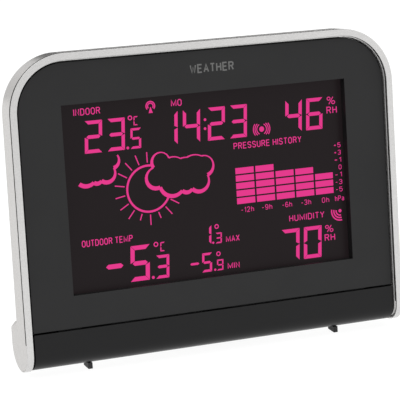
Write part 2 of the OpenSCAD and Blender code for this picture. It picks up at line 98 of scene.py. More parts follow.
lens = bpy.data.cameras.new("studio_camera")
lens.sensor_width = SENSOR_MM
lens.lens = LENS_MM
lens.clip_end = 20.0
camera = bpy.data.objects.new("studio_camera", lens)
bpy.context.scene.collection.objects.link(camera)
outward = Vector((math.sin(CAMERA_AZIMUTH)*math.cos(CAMERA_ELEVATION),
                  -math.cos(CAMERA_AZIMUTH)*math.cos(CAMERA_ELEVATION),
                  math.sin(CAMERA_ELEVATION)))
camera.location = CAMERA_AIM + outward*CAMERA_DISTANCE
camera.rotation_euler = (-outward).to_track_quat("-Z", "Y").to_euler()
bpy.context.scene.camera = camera
print("camera at", [round(v, 3) for v in camera.location])

# %% [markdown]
# ## Nodes and colours
# Two helpers carry every finish below. One turns a colour as people write it, an
# sRGB hex, into the linear numbers that a shader wants. The other adds one shader
# node, sets its values and joins its inputs, so a material reads like a recipe.

# %% Two helpers for materials


def linear(code):
    """sRGB hex to linear RGBA: v/12.92 below 0.04045, else ((v + 0.055)/1.055)^2.4."""
    v = np.array([int(code[i:i + 2], 16) for i in (1, 3, 5)])/255
    return (*np.where(v <= 0.04045, v/12.92, ((v + 0.055)/1.055)**2.4).tolist(), 1.0)


def add(tree, kind, links=None, **settings):
    """One node: settings name its properties; links fill its inputs with a value, or
    with an output, where a node stands for the first of its outputs in use."""
    node = tree.nodes.new("ShaderNode" + kind)
    for name, value in settings.items():
        setattr(node, name, value)
    for name, value in (links or {}).items():
        socket = next(s for s in node.inputs if s.enabled and s.name == name)
        if isinstance(value, bpy.types.Node):
            value = next(s for s in value.outputs if s.enabled)
        if isinstance(value, bpy.types.NodeSocket):
            tree.links.new(value, socket)
        else:
            socket.default_value = value
    return node


def fresh(name):
    """A new material: its empty node tree, and the object coordinates to draw in."""
    material = bpy.data.materials.new(name)
    material.use_nodes = True
    material.node_tree.nodes.clear()
    return material, material.node_tree, add(material.node_tree, "TexCoord").outputs["Object"]


def per_metre(size_mm):
    """Scale of a noise whose features are size_mm across, for coordinates in metres."""
    return 1/(size_mm*MM)


print("white is", linear("#ffffff"))

# %% [markdown]
# ## Moulded plastic
# Most of the weather station is injection-moulded ABS. The mould's cavity is
# spark eroded or blasted, and the plastic copies it as a field of tiny pits. Up
# close that is bump, further away it only widens the highlight. The recipe: a
# base colour that drifts by a few percent over centimetres, as regrind and
# handling make it, a roughness that drifts with it, and a bump of the mould's
# grit. Real grit is 0.03 to 0.1 mm, far too fine for a picture of the whole
# object, so it is drawn coarser, mostly at 0.3 to 0.6 mm.
#
# ABS bends light by about 1.5. A fine mould texture throws part of the shine
# away, more than bump this coarse can, so the panel and the cover get a lower
# index. Those two values were chosen for the look and are not the plastic's own.

# %% Recipe for moulded, rubbery and filmy finishes


def moulded(name, colour, shade, roughness, grit_mm=0.3, pit_mm=0.004, **skin):
    """Colour drifts from colour to shade over 20 mm, roughness by a tenth; grit is bump."""
    material, tree, place = fresh(name)
    drift = add(tree, "TexNoise", {"Vector": place, "Scale": per_metre(20), "Detail": 3.0})
    grit = add(tree, "TexNoise", {"Vector": place, "Scale": per_metre(grit_mm), "Detail": 1.0})
    tint = add(tree, "Mix", {"Factor": drift, "A": linear(colour), "B": linear(shade)},
               data_type="RGBA")
    rough = add(tree, "MapRange", {"Value": drift, "From Min": 0.3, "From Max": 0.7,
                                   "To Min": roughness*0.92, "To Max": roughness*1.08})
    bump = add(tree, "Bump", {"Height": grit, "Distance": pit_mm*MM})
    shader = add(tree, "BsdfPrincipled", {"Base Color": tint, "Roughness": rough,
                                          "Normal": bump, **skin})
    add(tree, "OutputMaterial", {"Surface": shader})
    return material


panel_abs = moulded("fine_grained_black_abs", "#141415", "#111112", 0.5, 0.35, 0.004, IOR=1.4)
cover_abs = moulded("satin_black_abs", "#121213", "#0f0f10", 0.3, 0.5, 0.0012, IOR=1.31)
shell_abs = moulded("spark_eroded_black_abs", "#232325", "#1d1d1f", 0.5, 0.5, 0.012)
print(panel_abs.name, cover_abs.name, shell_abs.name)

# %% [markdown]
# ## Silver frame and trim
# The arch is moulded in ABS and sprayed with silver base coat and a satin clear
# coat. The paint holds aluminium flakes of about 0.02 mm; they lie nearly flat, so
# the surface glints as a fine light and dark speckle. Here the flakes are
# Voronoi cells of 0.35 mm, coarser than real so that they show, and each cell
# tips the normal and the brightness a little. Metallic is part way, because
# between the flakes the binder scatters like a plain grey.

# %% Silver paint


def silver_paint(name, colour, roughness, metal):
    """Flake cells carry a random grey: it shifts the colour by 8% and tilts the normal."""
    material, tree, place = fresh(name)
    flake = add(tree, "TexVoronoi", {"Vector": place, "Scale": per_metre(0.35)})
    spread = add(tree, "SeparateColor", {"Color": flake.outputs["Color"]})
    tint = add(tree, "MapRange", {"Value": spread, "To Min": 0.93, "To Max": 1.04})
    coat = add(tree, "Mix", {"Factor": 1.0, "A": linear(colour), "B": tint},
               data_type="RGBA", blend_type="MULTIPLY")
    bump = add(tree, "Bump", {"Height": spread, "Strength": 0.25, "Distance": 0.01*MM})
    cloud = add(tree, "TexNoise", {"Vector": place, "Scale": per_metre(12), "Detail": 3.0})
    rough = add(tree, "MapRange", {"Value": cloud, "From Min": 0.3, "From Max": 0.7,
                                   "To Min": roughness*0.92, "To Max": roughness*1.08})
    shader = add(tree, "BsdfPrincipled", {"Base Color": coat, "Roughness": rough,
                                          "Metallic": metal, "Normal": bump})
    add(tree, "OutputMaterial", {"Surface": shader})
    return material


frame_silver = silver_paint("satin_silver_paint", "#c0bebc", 0.23, 0.85)
trim_silver = silver_paint("satin_silver_trim", "#cecdcc", 0.24, 0.72)

# %% [markdown]
# ## Floor and light
# The floor is a plain pale disc, bright enough to melt into white as in a
# catalogue. What makes silver look like silver is what it mirrors, so the room
# is shaped too: bright all round and a little brighter to the right, but dark in
# a low patch behind the object on the right, like the gap between two studio
# walls. Only the frame's flat top mirrors that gap, as a thin dark line.
# A large soft box hangs above and a smaller one lights the back.

# %% Studio
FLOOR_RADIUS = 2.2
FLOOR_GLOW = 0.93
LEFT_LIGHT, RIGHT_LIGHT, GAP_LIGHT = 0.82, 1.2, 0.05


def studio_floor(radius, sides=96):
    """A disc's rim x = r cos a, y = r sin a at z = 0, filled by one face."""
    a = np.linspace(0, 2*np.pi, sides, endpoint=False)
    rim = np.stack([radius*np.cos(a), radius*np.sin(a), np.zeros_like(a)], -1)
    mesh = bpy.data.meshes.new("studio_floor")
    mesh.from_pydata(rim, [], [list(range(sides))])
    floor = bpy.data.objects.new("studio_floor", mesh)
    bpy.context.scene.collection.objects.link(floor)
    material, tree, place = fresh("white_card")
    fibre = add(tree, "TexNoise", {"Vector": place, "Scale": per_metre(30)})
    tint = add(tree, "Mix", {"Factor": fibre, "A": linear("#5c5c5c"), "B": linear("#646464")},
               data_type="RGBA")
    shader = add(tree, "BsdfPrincipled", {"Base Color": tint, "Roughness": 0.9,
                                          "Emission Color": linear("#ffffff"),
                                          "Emission Strength": FLOOR_GLOW})
    add(tree, "OutputMaterial", {"Surface": shader})
    mesh.materials.append(material)


def soft_box(name, where, aim, size, watts):
    """A square area light at where, facing aim."""
    light = bpy.data.lights.new(name, "AREA")
    light.shape = "SQUARE"
    light.size = size
    light.energy = watts
    lamp = bpy.data.objects.new(name, light)
    lamp.location = where
    lamp.rotation_euler = (Vector(aim) - Vector(where)).to_track_quat("-Z", "Y").to_euler()
    bpy.context.scene.collection.objects.link(lamp)


studio_floor(FLOOR_RADIUS)
soft_box("soft_box_above", (0.0, -0.25, 1.3), (0, 0, 0), 1.4, 8)
soft_box("soft_box_behind", (-0.7, 1.2, 1.1), (0, 0, 0.05), 0.8, 5)
world = bpy.data.worlds.new("room")
world.use_nodes = True
room = world.node_tree
facing = add(room, "SeparateXYZ", {"Vector": add(room, "TexCoord").outputs["Generated"]})
behind = add(room, "MapRange", {"Value": facing.outputs["Y"], "From Min": 0.2, "From Max": 0.75},
             interpolation_type="SMOOTHSTEP")
low = add(room, "MapRange", {"Value": facing.outputs["Z"], "From Min": 0.45, "From Max": 0.3},
          interpolation_type="SMOOTHSTEP")
right = add(room, "MapRange", {"Value": facing.outputs["X"], "From Min": 0.1, "From Max": 0.25},
            interpolation_type="SMOOTHSTEP")
for part in (low, right):
    behind = add(room, "Mix", {"Factor": part, "A": 0.0, "B": behind})
side = add(room, "MapRange", {"Value": facing.outputs["X"], "From Min": 0.2, "From Max": 0.6,
                              "To Min": LEFT_LIGHT, "To Max": RIGHT_LIGHT})
dim = add(room, "Mix", {"Factor": behind, "A": side, "B": GAP_LIGHT})
room.links.new(next(o for o in dim.outputs if o.enabled),
               room.nodes["Background"].inputs["Strength"])
room.nodes["Background"].inputs["Color"].default_value = linear("#ffffff")
bpy.context.scene.world = world
bpy.context.scene.view_settings.view_transform = "Standard"

# %% [markdown]
# ## The display's lit figures
# The display is a negative LCD: black all over, with windows that open where a
# figure is shown and let the magenta backlight through. An image would be the
# lazy way, but then the figures would be flat at any zoom. Each figure is
# instead a real plate, a few hundredths of a millimetre thick, on the face of
# the polariser, so its edge is as sharp as etched glass.
#
# One shape is enough for all of them: a band between two rows of points, left
# and right. A straight bar is a band with two pairs, an arc or a cloud's edge is
# one with many, and a ring is one that closes on itself.

# %% Where the face of the display is
PLATE_T = 0.03
PLATE_LIFT = 0.005
LEVEL_STEP = 0.002


def upright(name):
    """A CAD node's corners in housing millimetres: world over MM, less the origin, unleaned."""
    mesh = nodes[name].data
    world_co = np.empty(3*len(mesh.vertices))
    mesh.vertices.foreach_get("co", world_co)
    x, y, z = (world_co.reshape(-1, 3)/MM - ORIGIN).T
    c, s = math.cos(LEAN), math.sin(LEAN)
    return np.stack([x, y*c - z*s, z*c + y*s], -1)


FILM_Y = upright("front_polariser")[:, 1].min()
print("polariser face at y =", round(FILM_Y, 3), "mm")

# %% A sheet of bands


class Sheet:
    """Gathers closed plates that lie on one face y = face, and makes them one mesh. The
    points are as their reader sees them, so on a face that looks back (look = 1) x turns
    over: x' = -look x."""

    def __init__(self, face, thickness, look=-1):
        self.look = look
        self.levels = (face + look*(PLATE_LIFT + thickness), face + look*PLATE_LIFT)
        self.corners, self.faces = [], []

    def band(self, left, right, closed=False):
        """A plate between two rows of (x, z) points. Its section is front left, front
        right, back right, back left; joining each section to the next makes the walls.
        Fronts take turns at three levels, so that strokes that cross share no face."""
        left, right = (np.asarray(row, float).reshape(-1, 2) for row in (left, right))
        n = len(left)
        front, behind = self.levels
        front += self.look*LEVEL_STEP*(len(self.faces) % 3)
        section = np.stack([np.insert(row, 1, level, axis=1) for row, level in
                            ((left, front), (right, front), (right, behind), (left, behind))], 1)
        first = sum(len(block) for block in self.corners)
        self.corners.append(section.reshape(-1, 3))
        step, side = np.meshgrid(np.arange(n if closed else n - 1), np.arange(4), indexing="ij")
        following = (step + 1) % n
        quads = np.stack([4*step + side, 4*step + (side + 1) % 4,
                          4*following + (side + 1) % 4, 4*following + side], -1).reshape(-1, 4)
        if not closed:
            ends = [[3, 2, 1, 0], [4*n - 4, 4*n - 3, 4*n - 2, 4*n - 1]]
            quads = np.concatenate([quads, ends])
        self.faces.append(quads + first)

    def stroke(self, path, width, closed=False):
        """A band about a path, half of width to each side. At a corner the edge stands
        along the sum of the two squares n and m, divided by 1 + n.m, which is a mitre;
        the divisor is kept over 0.4 so that a sharp corner is blunt."""
        path = np.asarray(path, float)
        steps = np.diff(np.vstack([path, path[:1]]) if closed else path, axis=0)
        steps /= np.linalg.norm(steps, axis=1)[:, None]
        square = np.stack([-steps[:, 1], steps[:, 0]], -1)
        before = np.roll(square, 1, 0) if closed else np.vstack([square[:1], square])
        after = square if closed else np.vstack([square, square[-1:]])
        turn = np.maximum(1 + (before*after).sum(1), 0.4)[:, None]
        across = (before + after)/turn*width/2
        self.band(path + across, path - across, closed)

    def piece(self, name, material, body="housing"):
        """The sheet as one object: corners go to world places, and faces are turned outwards."""
        corners = np.concatenate(self.corners)*(-self.look, 1, 1)
        mesh = bpy.data.meshes.new(name)
        mesh.from_pydata(housing(*corners.T), [], np.concatenate(self.faces).tolist())
        tidy = bmesh.new()
        tidy.from_mesh(mesh)
        bmesh.ops.recalc_face_normals(tidy, faces=tidy.faces)
        tidy.to_mesh(mesh)
        tidy.free()
        mesh.materials.append(material)
        made = bpy.data.objects.new(name, mesh)
        bpy.context.scene.collection.objects.link(made)
        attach(made, body)
        print(name, len(mesh.vertices), "corners")


lit = Sheet(FILM_Y, PLATE_T)

# %% [markdown]
# ### Digits
# A digit has seven segments, called a to g from the top round to the middle. The
# ends are cut at 45 degrees so that neighbours meet along a hair-thin gap, and
# the whole digit leans 3.3 degrees to the right.

# %% Seven segments
SLANT = 0.058
HAIR = 0.08
SEGMENTS = {"0": "abcdef", "1": "bc", "2": "abged", "3": "abgcd", "4": "fgbc", "5": "afgcd",
            "6": "afgedc", "7": "abc", "9": "abgfcd", "C": "adef", "-": "g"}


def digit(sheet, character, x, z, w, h, t):
    """Segments of a w by h digit with strokes t wide, its lower left corner at (x, z).
    A point moves right by SLANT for each millimetre that it is above z."""
    mid, n = h/2, HAIR
    top = [(n, h), (w - n, h)], [(t + n, h - t), (w - t - n, h - t)]
    upper = [(w, h - n), (w, mid + n)], [(w - t, h - t - n), (w - t, mid + t/2 + n)]
    bars = {
        "a": top,
        "d": [[(px, h - pz) for px, pz in row] for row in top],
        "b": upper,
        "c": [[(px, h - pz) for px, pz in row] for row in upper],
        "f": [[(w - px, pz) for px, pz in row] for row in upper],
        "e": [[(w - px, h - pz) for px, pz in row] for row in upper],
        "g": [[(t/2 + n, mid + n), (t + n, mid + t/2), (w - t - n, mid + t/2), (w - t/2 - n, mid + n)],
              [(t/2 + n, mid - n), (t + n, mid - t/2), (w - t - n, mid - t/2), (w - t/2 - n, mid - n)]],
    }
    for letter in SEGMENTS[character]:
        rows = [np.array(row) for row in bars[letter]]
        for row in rows:
            row[:, 0] += x + SLANT*row[:, 1]
            row[:, 1] += z
        sheet.band(*rows)


def number(sheet, text, x, z, w, h, t, pitch):
    """Digits side by side, pitch from each left edge to the next."""
    for i, character in enumerate(text):
        digit(sheet, character, x + i*pitch, z, w, h, t)


def arc(x, z, radius, start, end, points=24):
    """Points of a circle's arc, angles in degrees from the x axis, anticlockwise."""
    a = np.radians(np.linspace(start, end, points))
    return np.stack([x + radius*np.cos(a), z + radius*np.sin(a)], -1)


def ring(sheet, x, z, radius, width):
    """A closed ring: a circle without its last point, as a closed stroke."""
    sheet.stroke(arc(x, z, radius, 0, 360, 33)[:-1], width, closed=True)


def dot(sheet, x, z, radius):
    """A filled disc: the upper half circle joined to the lower one."""
    upper, lower = arc(x, z, radius, 175, 5, 12), arc(x, z, radius, 185, 355, 12)
    sheet.band(upper, lower)


# %% Temperatures, time and humidity
number(lit, "23", -54.5, 87.5, 7.7, 13.5, 1.49, 10.1)
dot(lit, -35.4, 88.1, 0.6)
digit(lit, "5", -34.2, 87.5, 4.8, 8.6, 0.98)
ring(lit, -33.6, 100.5, 0.8, 0.45)
digit(lit, "C", -32.2, 97.2, 2.0, 3.8, 0.47)

number(lit, "14", -20.7, 87.5, 7.9, 14.0, 1.49, 10.3)
number(lit, "23", 1.1, 87.5, 7.9, 14.0, 1.49, 10.3)
dot(lit, 0.3, 96.6, 0.6)
dot(lit, 0.1, 92.8, 0.6)

number(lit, "46", 37.5, 87.5, 7.9, 13.7, 1.58, 10.0)
number(lit, "70", 32.5, 31.6, 8.6, 13.9, 1.63, 10.7)

lit.band([(-48.4, 39.2), (-47.4, 40.1), (-41.8, 40.1), (-40.8, 39.2)],
         [(-48.4, 39.0), (-47.4, 38.1), (-41.8, 38.1), (-40.8, 39.0)])
digit(lit, "5", -37.9, 31.6, 8.7, 15.1, 1.86)
dot(lit, -27.6, 32.3, 0.65)
digit(lit, "3", -26.3, 31.5, 6.0, 9.9, 1.26)
ring(lit, -25.5, 46.2, 0.85, 0.45)
digit(lit, "C", -23.7, 42.9, 2.1, 4.0, 0.51)

digit(lit, "1", -4.6, 43.4, 4.5, 8.1, 1.02)
dot(lit, 0.8, 43.8, 0.5)
digit(lit, "3", 1.9, 43.3, 2.9, 4.6, 0.6)
ring(lit, 2.8, 50.6, 0.8, 0.45)
lit.band([(-10.3, 35.8), (-9.8, 36.2), (-6.8, 36.2), (-6.3, 35.8)],
         [(-10.3, 35.6), (-9.8, 35.2), (-6.8, 35.2), (-6.3, 35.6)])
digit(lit, "5", -5.1, 31.6, 4.6, 8.2, 1.02)
dot(lit, 1.0, 32.1, 0.5)
digit(lit, "9", 1.8, 31.6, 3.0, 4.7, 0.6)
ring(lit, 2.9, 38.8, 0.8, 0.45)
print(len(lit.faces), "bands so far")

# %% [markdown]
# ### Pressure chart
# Five columns of blocks, a block for each step of pressure, three hours apart.

# %% Bars of the pressure history
BAR_X, BAR_Z = 13.0, 59.0
BAR_PITCH_X, BAR_PITCH_Z = 9.42, 3.24
BAR_W, BAR_H = 8.6, 2.6
for column, blocks in enumerate((5, 5, 4, 4, 3)):
    x0 = BAR_X + BAR_PITCH_X*column
    for row in range(blocks):
        z0 = BAR_Z + BAR_PITCH_Z*row
        lit.band([(x0, z0 + BAR_H), (x0 + BAR_W, z0 + BAR_H)], [(x0, z0), (x0 + BAR_W, z0)])

# %% [markdown]
# ### Weather picture
# The forecast is a sun half behind a cloud. Its rays stand every 20 degrees where
# the cloud leaves room. A cloud is a chain of lobes: each lobe is an arc from one
# notch to the next, known by how far it bulges, and it is drawn with a broad
# nib that presses harder on the lower left, as a sign painter would.

# %% Sun, rays and clouds
SUN = (-27.1, 70.1)
SUN_RADIUS, RAY_START, RAY_END, SHORT_RAY_END = 9.75, 11.0, 15.4, 13.8
NIB = np.array([-0.35, -0.94])


def lobes(notches, bulges, points=14):
    """Arcs through the notches. For chord c and bulge b the radius is (c*c/4 + b*b)/2b,
    and the middle stands back from the chord by radius - b. Returns points and normals."""
    path, outward = [], []
    for start, end, b in zip(notches[:-1], notches[1:], bulges):
        start, end = np.array(start), np.array(end)
        chord = end - start
        c = np.linalg.norm(chord)
        square = np.array([-chord[1], chord[0]])/c
        radius = (c*c/4 + b*b)/(2*b)
        middle = (start + end)/2 + square*(b - radius)
        half = np.arcsin(min(1.0, c/2/radius))
        half = np.pi - half if b > radius else half
        a = np.linspace(-half, half, points)[:, None]
        normal = np.cos(a)*square + np.sin(a)*chord/c
        path.append(middle + radius*normal)
        outward.append(normal)
    return path, outward


def cloud(sheet, notches, bulges, thin, thick):
    """Each lobe is a band from the arc inwards; its width grows where the arc faces down."""
    for path, outward in zip(*lobes(notches, bulges)):
        press = np.clip(outward @ NIB, -1, 1)[:, None]*0.5 + 0.5
        width = thin + (thick - thin)*press
        sheet.band(path + outward*width/2, path - outward*width/2)


lit.stroke(arc(*SUN, SUN_RADIUS, 82, 331, 72), 0.9)
for degrees in range(90, 331, 20):
    reach = SHORT_RAY_END if degrees in (250, 290) else RAY_END
    c, s = math.cos(math.radians(degrees)), math.sin(math.radians(degrees))
    lit.stroke([(SUN[0] + r*c, SUN[1] + r*s) for r in (RAY_START, reach)], 0.48)
cloud(lit,
      [(-24.5, 78.6), (-17.2, 82.1), (-12.0, 81.3), (-9.0, 81.5), (-2.3, 81.4), (0.0, 73.1),
       (-7.4, 67.9), (-12.0, 67.6), (-21.9, 70.1), (-24.5, 78.6)],
      [4.5, 0.6, 0.15, 0.8, 4.1, 4.0, 1.1, 3.0, 4.8], 0.5, 1.75)
cloud(lit,
      [(-40.3, 85.6), (-42.2, 80.4), (-48.0, 75.6), (-51.4, 75.2), (-57.8, 75.2)],
      [1.5, 3.2, 0.8, 1.2], 0.6, 1.8)

# %% Small signs: time signal, sound and sensor signal
TIME_SIGN, SOUND_SIGN, SENSOR_SIGN = (-24.15, 104.6), (26.4, 90.1), (61.9, 50.8)
lit.band([(-24.25, 104.2), (-25.1, 101.7)], [(-24.05, 104.2), (-23.2, 101.7)])
for radius in (1.25, 1.95):
    lit.stroke(arc(*TIME_SIGN, radius, -40, 220), 0.5)
dot(lit, *SOUND_SIGN, 1.15)
for radius in (2.3, 3.1, 3.9):
    for middle in (0, 180):
        spread = math.degrees(math.asin(2.4/radius)) if radius > 2.5 else 62
        lit.stroke(arc(*SOUND_SIGN, radius, middle - spread, middle + spread), 0.42)
dot(lit, *SENSOR_SIGN, 0.75)
for radius in (1.9, 3.0, 4.1):
    lit.stroke(arc(*SENSOR_SIGN, radius, 168, 282), 0.6)

# %% [markdown]
# ### Small words and numbers
# The labels are plain words in a narrow sans face. A text object would bring a
# wide face that has to be squeezed until its strokes clog. Letters this small
# are better drawn as an engraver does, with one tool of one width: each letter
# is a few strokes on a grid six steps high, and a word is its letters side by
# side, fitted to the box that it has on the glass.

# %% An alphabet of strokes
# For each letter: its strokes, as x and z in tenths of a step; "o" closes a stroke.
STROKES = {
    "A": "0,0 18,60 36,0|6,20 30,20", "D": "0,0 0,60 22,60 35,48 35,12 22,0 o",
    "C": "34,48 25,60 11,60 0,48 0,12 11,0 25,0 34,12", "E": "33,60 0,60 0,0 33,0|0,31 29,31",
    "F": "0,0 0,60 32,60|0,31 28,31", "H": "0,0 0,60|34,0 34,60|0,31 34,31",
    "I": "0,0 0,60", "M": "0,0 0,60 24,8 48,60 48,0", "N": "0,0 0,60 33,0 33,60",
    "O": "0,12 0,48 11,60 25,60 36,48 36,12 25,0 11,0 o",
    "P": "0,0 0,60 24,60 34,53 34,36 24,29 0,29",
    "R": "0,0 0,60 24,60 34,53 34,38 24,31 0,31|20,31 35,0",
    "S": "34,48 25,60 9,60 0,52 0,39 8,33 26,28 34,21 34,9 25,0 9,0 0,12",
    "T": "0,60 34,60|17,60 17,0", "U": "0,60 0,10 10,0 24,0 34,10 34,60",
    "W": "0,60 11,0 22,44 33,0 44,60", "X": "0,0 35,60|0,60 35,0", "Y": "0,60 18,28 36,60|18,28 18,0",
    "a": "1,33 8,41 19,41 26,34 26,0|26,24 8,22 0,15 0,7 7,0 17,0 26,8",
    "h": "0,0 0,60|0,32 9,41 19,41 26,33 26,0",
    "0": "0,11 0,49 9,60 21,60 30,49 30,11 21,0 9,0 o", "1": "2,47 14,60 14,0",
    "2": "0,48 8,60 22,60 30,50 30,40 0,0 31,0",
    "3": "0,50 8,60 22,60 30,51 30,39 21,31 11,31|21,31 30,23 30,9 22,0 8,0 0,10",
    "5": "29,60 3,60 1,32 10,38 21,38 30,29 30,10 21,0 9,0 0,10",
    "6": "28,52 20,60 10,60 0,48 0,10 9,0 21,0 30,9 30,26 21,35 9,35 0,27",
    "9": "2,8 10,0 20,0 30,12 30,50 21,60 9,60 0,51 0,34 9,25 21,25 30,33",
    "+": "0,29 24,29|12,41 12,17", "-": "0,27 18,27",
    "%": "0,41 0,53 6,60 13,60 19,53 19,41 13,34 6,34 o|29,7 29,19 35,26 42,26 48,19 48,7 "
         "42,0 35,0 o|38,60 10,0",
    " ": "0,0",
}
LETTER_GAP = 20
WORD_GAP = 24


def letter(character):
    """The strokes of a letter as arrays of points in tenths, with whether each is closed."""
    for text in STROKES[character].split("|"):
        pairs = text.split()
        closed = pairs[-1] == "o"
        yield np.array([p.split(",") for p in pairs[:len(pairs) - closed]], float), closed


def word(sheet, text, x0, x1, z0, z1, width):
    """Strokes of a word, set side by side, then stretched so their middle lines fill the
    box from (x0, z0) to (x1, z1) less half a stroke all round."""
    strokes, pen = [], 0
    for character in text:
        if character == " ":
            pen += WORD_GAP
            continue
        drawn = list(letter(character))
        strokes += [(path + (pen, 0), closed) for path, closed in drawn]
        pen += max(path[:, 0].max() for path, _ in drawn) + LETTER_GAP
    corners = np.vstack([path for path, _ in strokes])
    low, high = corners.min(0), corners.max(0)
    if high[1] - low[1] < 59:
        low[1], high[1] = 0, 60
    span = np.maximum(high - low, 1)
    start, size = np.array([x0, z0]) + width/2, np.array([x1 - x0, z1 - z0]) - width
    for path, closed in strokes:
        sheet.stroke(start + (path - low)/span*size, width, closed)


# %% Words on the glass
LABELS = [
    ("INDOOR", -58.4, -46.6, 103.5, 106.4, 0.37), ("MO", -14.8, -9.9, 103.5, 106.4, 0.4),
    ("%", 58.2, 62.1, 97.7, 101.1, 0.37), ("RH", 57.8, 62.8, 93.7, 96.8, 0.42),
    ("PRESSURE HISTORY", 12.8, 45.0, 82.6, 85.4, 0.37),
    ("OUTDOOR TEMP", -58.5, -35.8, 48.7, 51.5, 0.37),
    ("HUMIDITY", 37.2, 54.2, 48.7, 51.5, 0.37),
    ("MAX", 6.8, 13.2, 43.3, 46.0, 0.37), ("MIN", 6.9, 12.5, 31.7, 34.3, 0.37),
    ("%", 54.3, 58.2, 42.0, 45.2, 0.37), ("RH", 53.8, 58.9, 38.2, 41.2, 0.42),
    ("-12h", 14.7, 20.7, 55.2, 57.5, 0.27), ("-9h", 24.5, 29.4, 55.2, 57.5, 0.27),
    ("-6h", 34.2, 38.9, 55.2, 57.5, 0.27), ("-3h", 43.3, 48.1, 55.2, 57.5, 0.27),
    ("0h", 53.4, 56.9, 55.2, 57.5, 0.27), ("hPa", 59.8, 64.2, 55.2, 57.5, 0.27),
]
for text, *box, width in LABELS:
    word(lit, text, *box, width)
SCALE_TOP, SCALE_PITCH = 79.7, 3.23
for i, mark in enumerate(("+5", "+3", "+1", "0", "-1", "-3", "-5")):
    middle = SCALE_TOP - SCALE_PITCH*i
    word(lit, mark, 62.3 if mark == "0" else 60.4, 63.7, middle - 1.05, middle + 1.05, 0.27)
print(len(lit.faces), "bands in all")

# %% [markdown]
# ### Light of the figures
# Behind the glass a light guide carries magenta from four LEDs at the left edge, so
# the figures glow a touch more on that side, and the print on the film makes a
# faint unevenness. The plates give their own light; a dull base keeps them from
# catching any other.

# %% Backlit magenta


def backlit(name, colour, far_colour):
    """Glow fades from colour to far_colour over the width of the glass, with 3 mm clouds."""
    material, tree, place = fresh(name)
    axes = add(tree, "SeparateXYZ", {"Vector": place})
    along = add(tree, "MapRange", {"Value": axes.outputs["X"], "From Min": -0.065,
                                   "From Max": 0.065})
    patches = add(tree, "TexNoise", {"Vector": place, "Scale": per_metre(3)})
    uneven = add(tree, "Mix", {"Factor": 0.35, "A": along, "B": patches})
    glow = add(tree, "Mix", {"Factor": uneven, "A": linear(colour), "B": linear(far_colour)},
               data_type="RGBA")
    shader = add(tree, "BsdfPrincipled", {"Base Color": linear("#12060d"), "Roughness": 0.35,
                                          "IOR": 1.2, "Emission Color": glow,
                                          "Emission Strength": 1.0})
    add(tree, "OutputMaterial", {"Surface": shader})
    return material


magenta = backlit("backlit_magenta", "#e7368b", "#e03288")
lit.piece("lit_figures", magenta)

# %% [markdown]
# ## Recipes for the rest
# Metals: a drawn rod or a rolled and plated strip carries fine lines along its
# length, so the noise is stretched twenty times along x. Circuit board: the
# solder mask is a glossy varnish over copper tracks, which show as paler lines;
# real tracks are 0.2 mm wide, here they are 0.35 mm. Coil and rubber connector: both
# are fine stripes, one of round wires, one of layers that conduct and do not.

# %% More recipes


def rough_shader(tree, tint, roughness, bump=None, **skin):
    """The usual end of a recipe: colour, roughness and bump into one surface."""
    links = {"Base Color": tint, "Roughness": roughness, **skin}
    if bump:
        links["Normal"] = bump
    add(tree, "OutputMaterial", {"Surface": add(tree, "BsdfPrincipled", links)})


def drawn_metal(name, colour, shade, roughness, line_mm=0.25):
    """Lines along x: noise in coordinates that are squeezed to a twentieth along x."""
    material, tree, place = fresh(name)
    along_x = add(tree, "Mapping", {"Vector": place, "Scale": (0.05, 1.0, 1.0)})
    lines = add(tree, "TexNoise", {"Vector": along_x, "Scale": per_metre(line_mm), "Detail": 3.0})
    tint = add(tree, "Mix", {"Factor": lines, "A": linear(colour), "B": linear(shade)},
               data_type="RGBA")
    rough = add(tree, "MapRange", {"Value": lines, "To Min": roughness*0.8,
                                   "To Max": roughness*1.2})
    bump = add(tree, "Bump", {"Height": lines, "Distance": 0.004*MM})
    rough_shader(tree, tint, rough, bump, Metallic=1.0)
    return material


def striped(name, colour, shade, pitch_mm, roughness, metal=0.0):
    """Stripes across x: a sine wave of that pitch mixes two colours and raises the surface."""
    material, tree, place = fresh(name)
    wave = add(tree, "TexWave", {"Vector": place, "Scale": 0.314/(pitch_mm*MM),
                                 "Distortion": 0.4, "Detail": 1.0})
    stripe = next(o for o in wave.outputs if o.name == "Factor" or o.name == "Fac")
    tint = add(tree, "Mix", {"Factor": stripe, "A": linear(shade), "B": linear(colour)},
               data_type="RGBA")
    bump = add(tree, "Bump", {"Height": stripe, "Distance": pitch_mm*0.2*MM})
    rough_shader(tree, tint, roughness, bump, Metallic=metal)
    return material


def circuit_board(name, mask, track):
    """Tracks are the joints of a brick pattern, laid in the board's own x-z plane."""
    material, tree, place = fresh(name)
    axes = add(tree, "SeparateXYZ", {"Vector": place})
    flat = add(tree, "CombineXYZ", {"X": axes.outputs["X"], "Y": axes.outputs["Z"]})
    tracks = add(tree, "TexBrick", {"Vector": flat, "Color1": linear(mask), "Color2": linear(mask),
                                    "Mortar": linear(track), "Scale": 1/(10*MM),
                                    "Mortar Size": 0.017, "Brick Width": 0.9, "Row Height": 0.21})
    weave = add(tree, "TexNoise", {"Vector": place, "Scale": per_metre(1.5), "Detail": 2.0})
    tint = add(tree, "Mix", {"Factor": weave, "A": tracks, "B": linear(mask)}, data_type="RGBA")
    bump = add(tree, "Bump", {"Height": weave, "Distance": 0.02*MM})
    rough_shader(tree, tint, 0.3, bump)
    return material


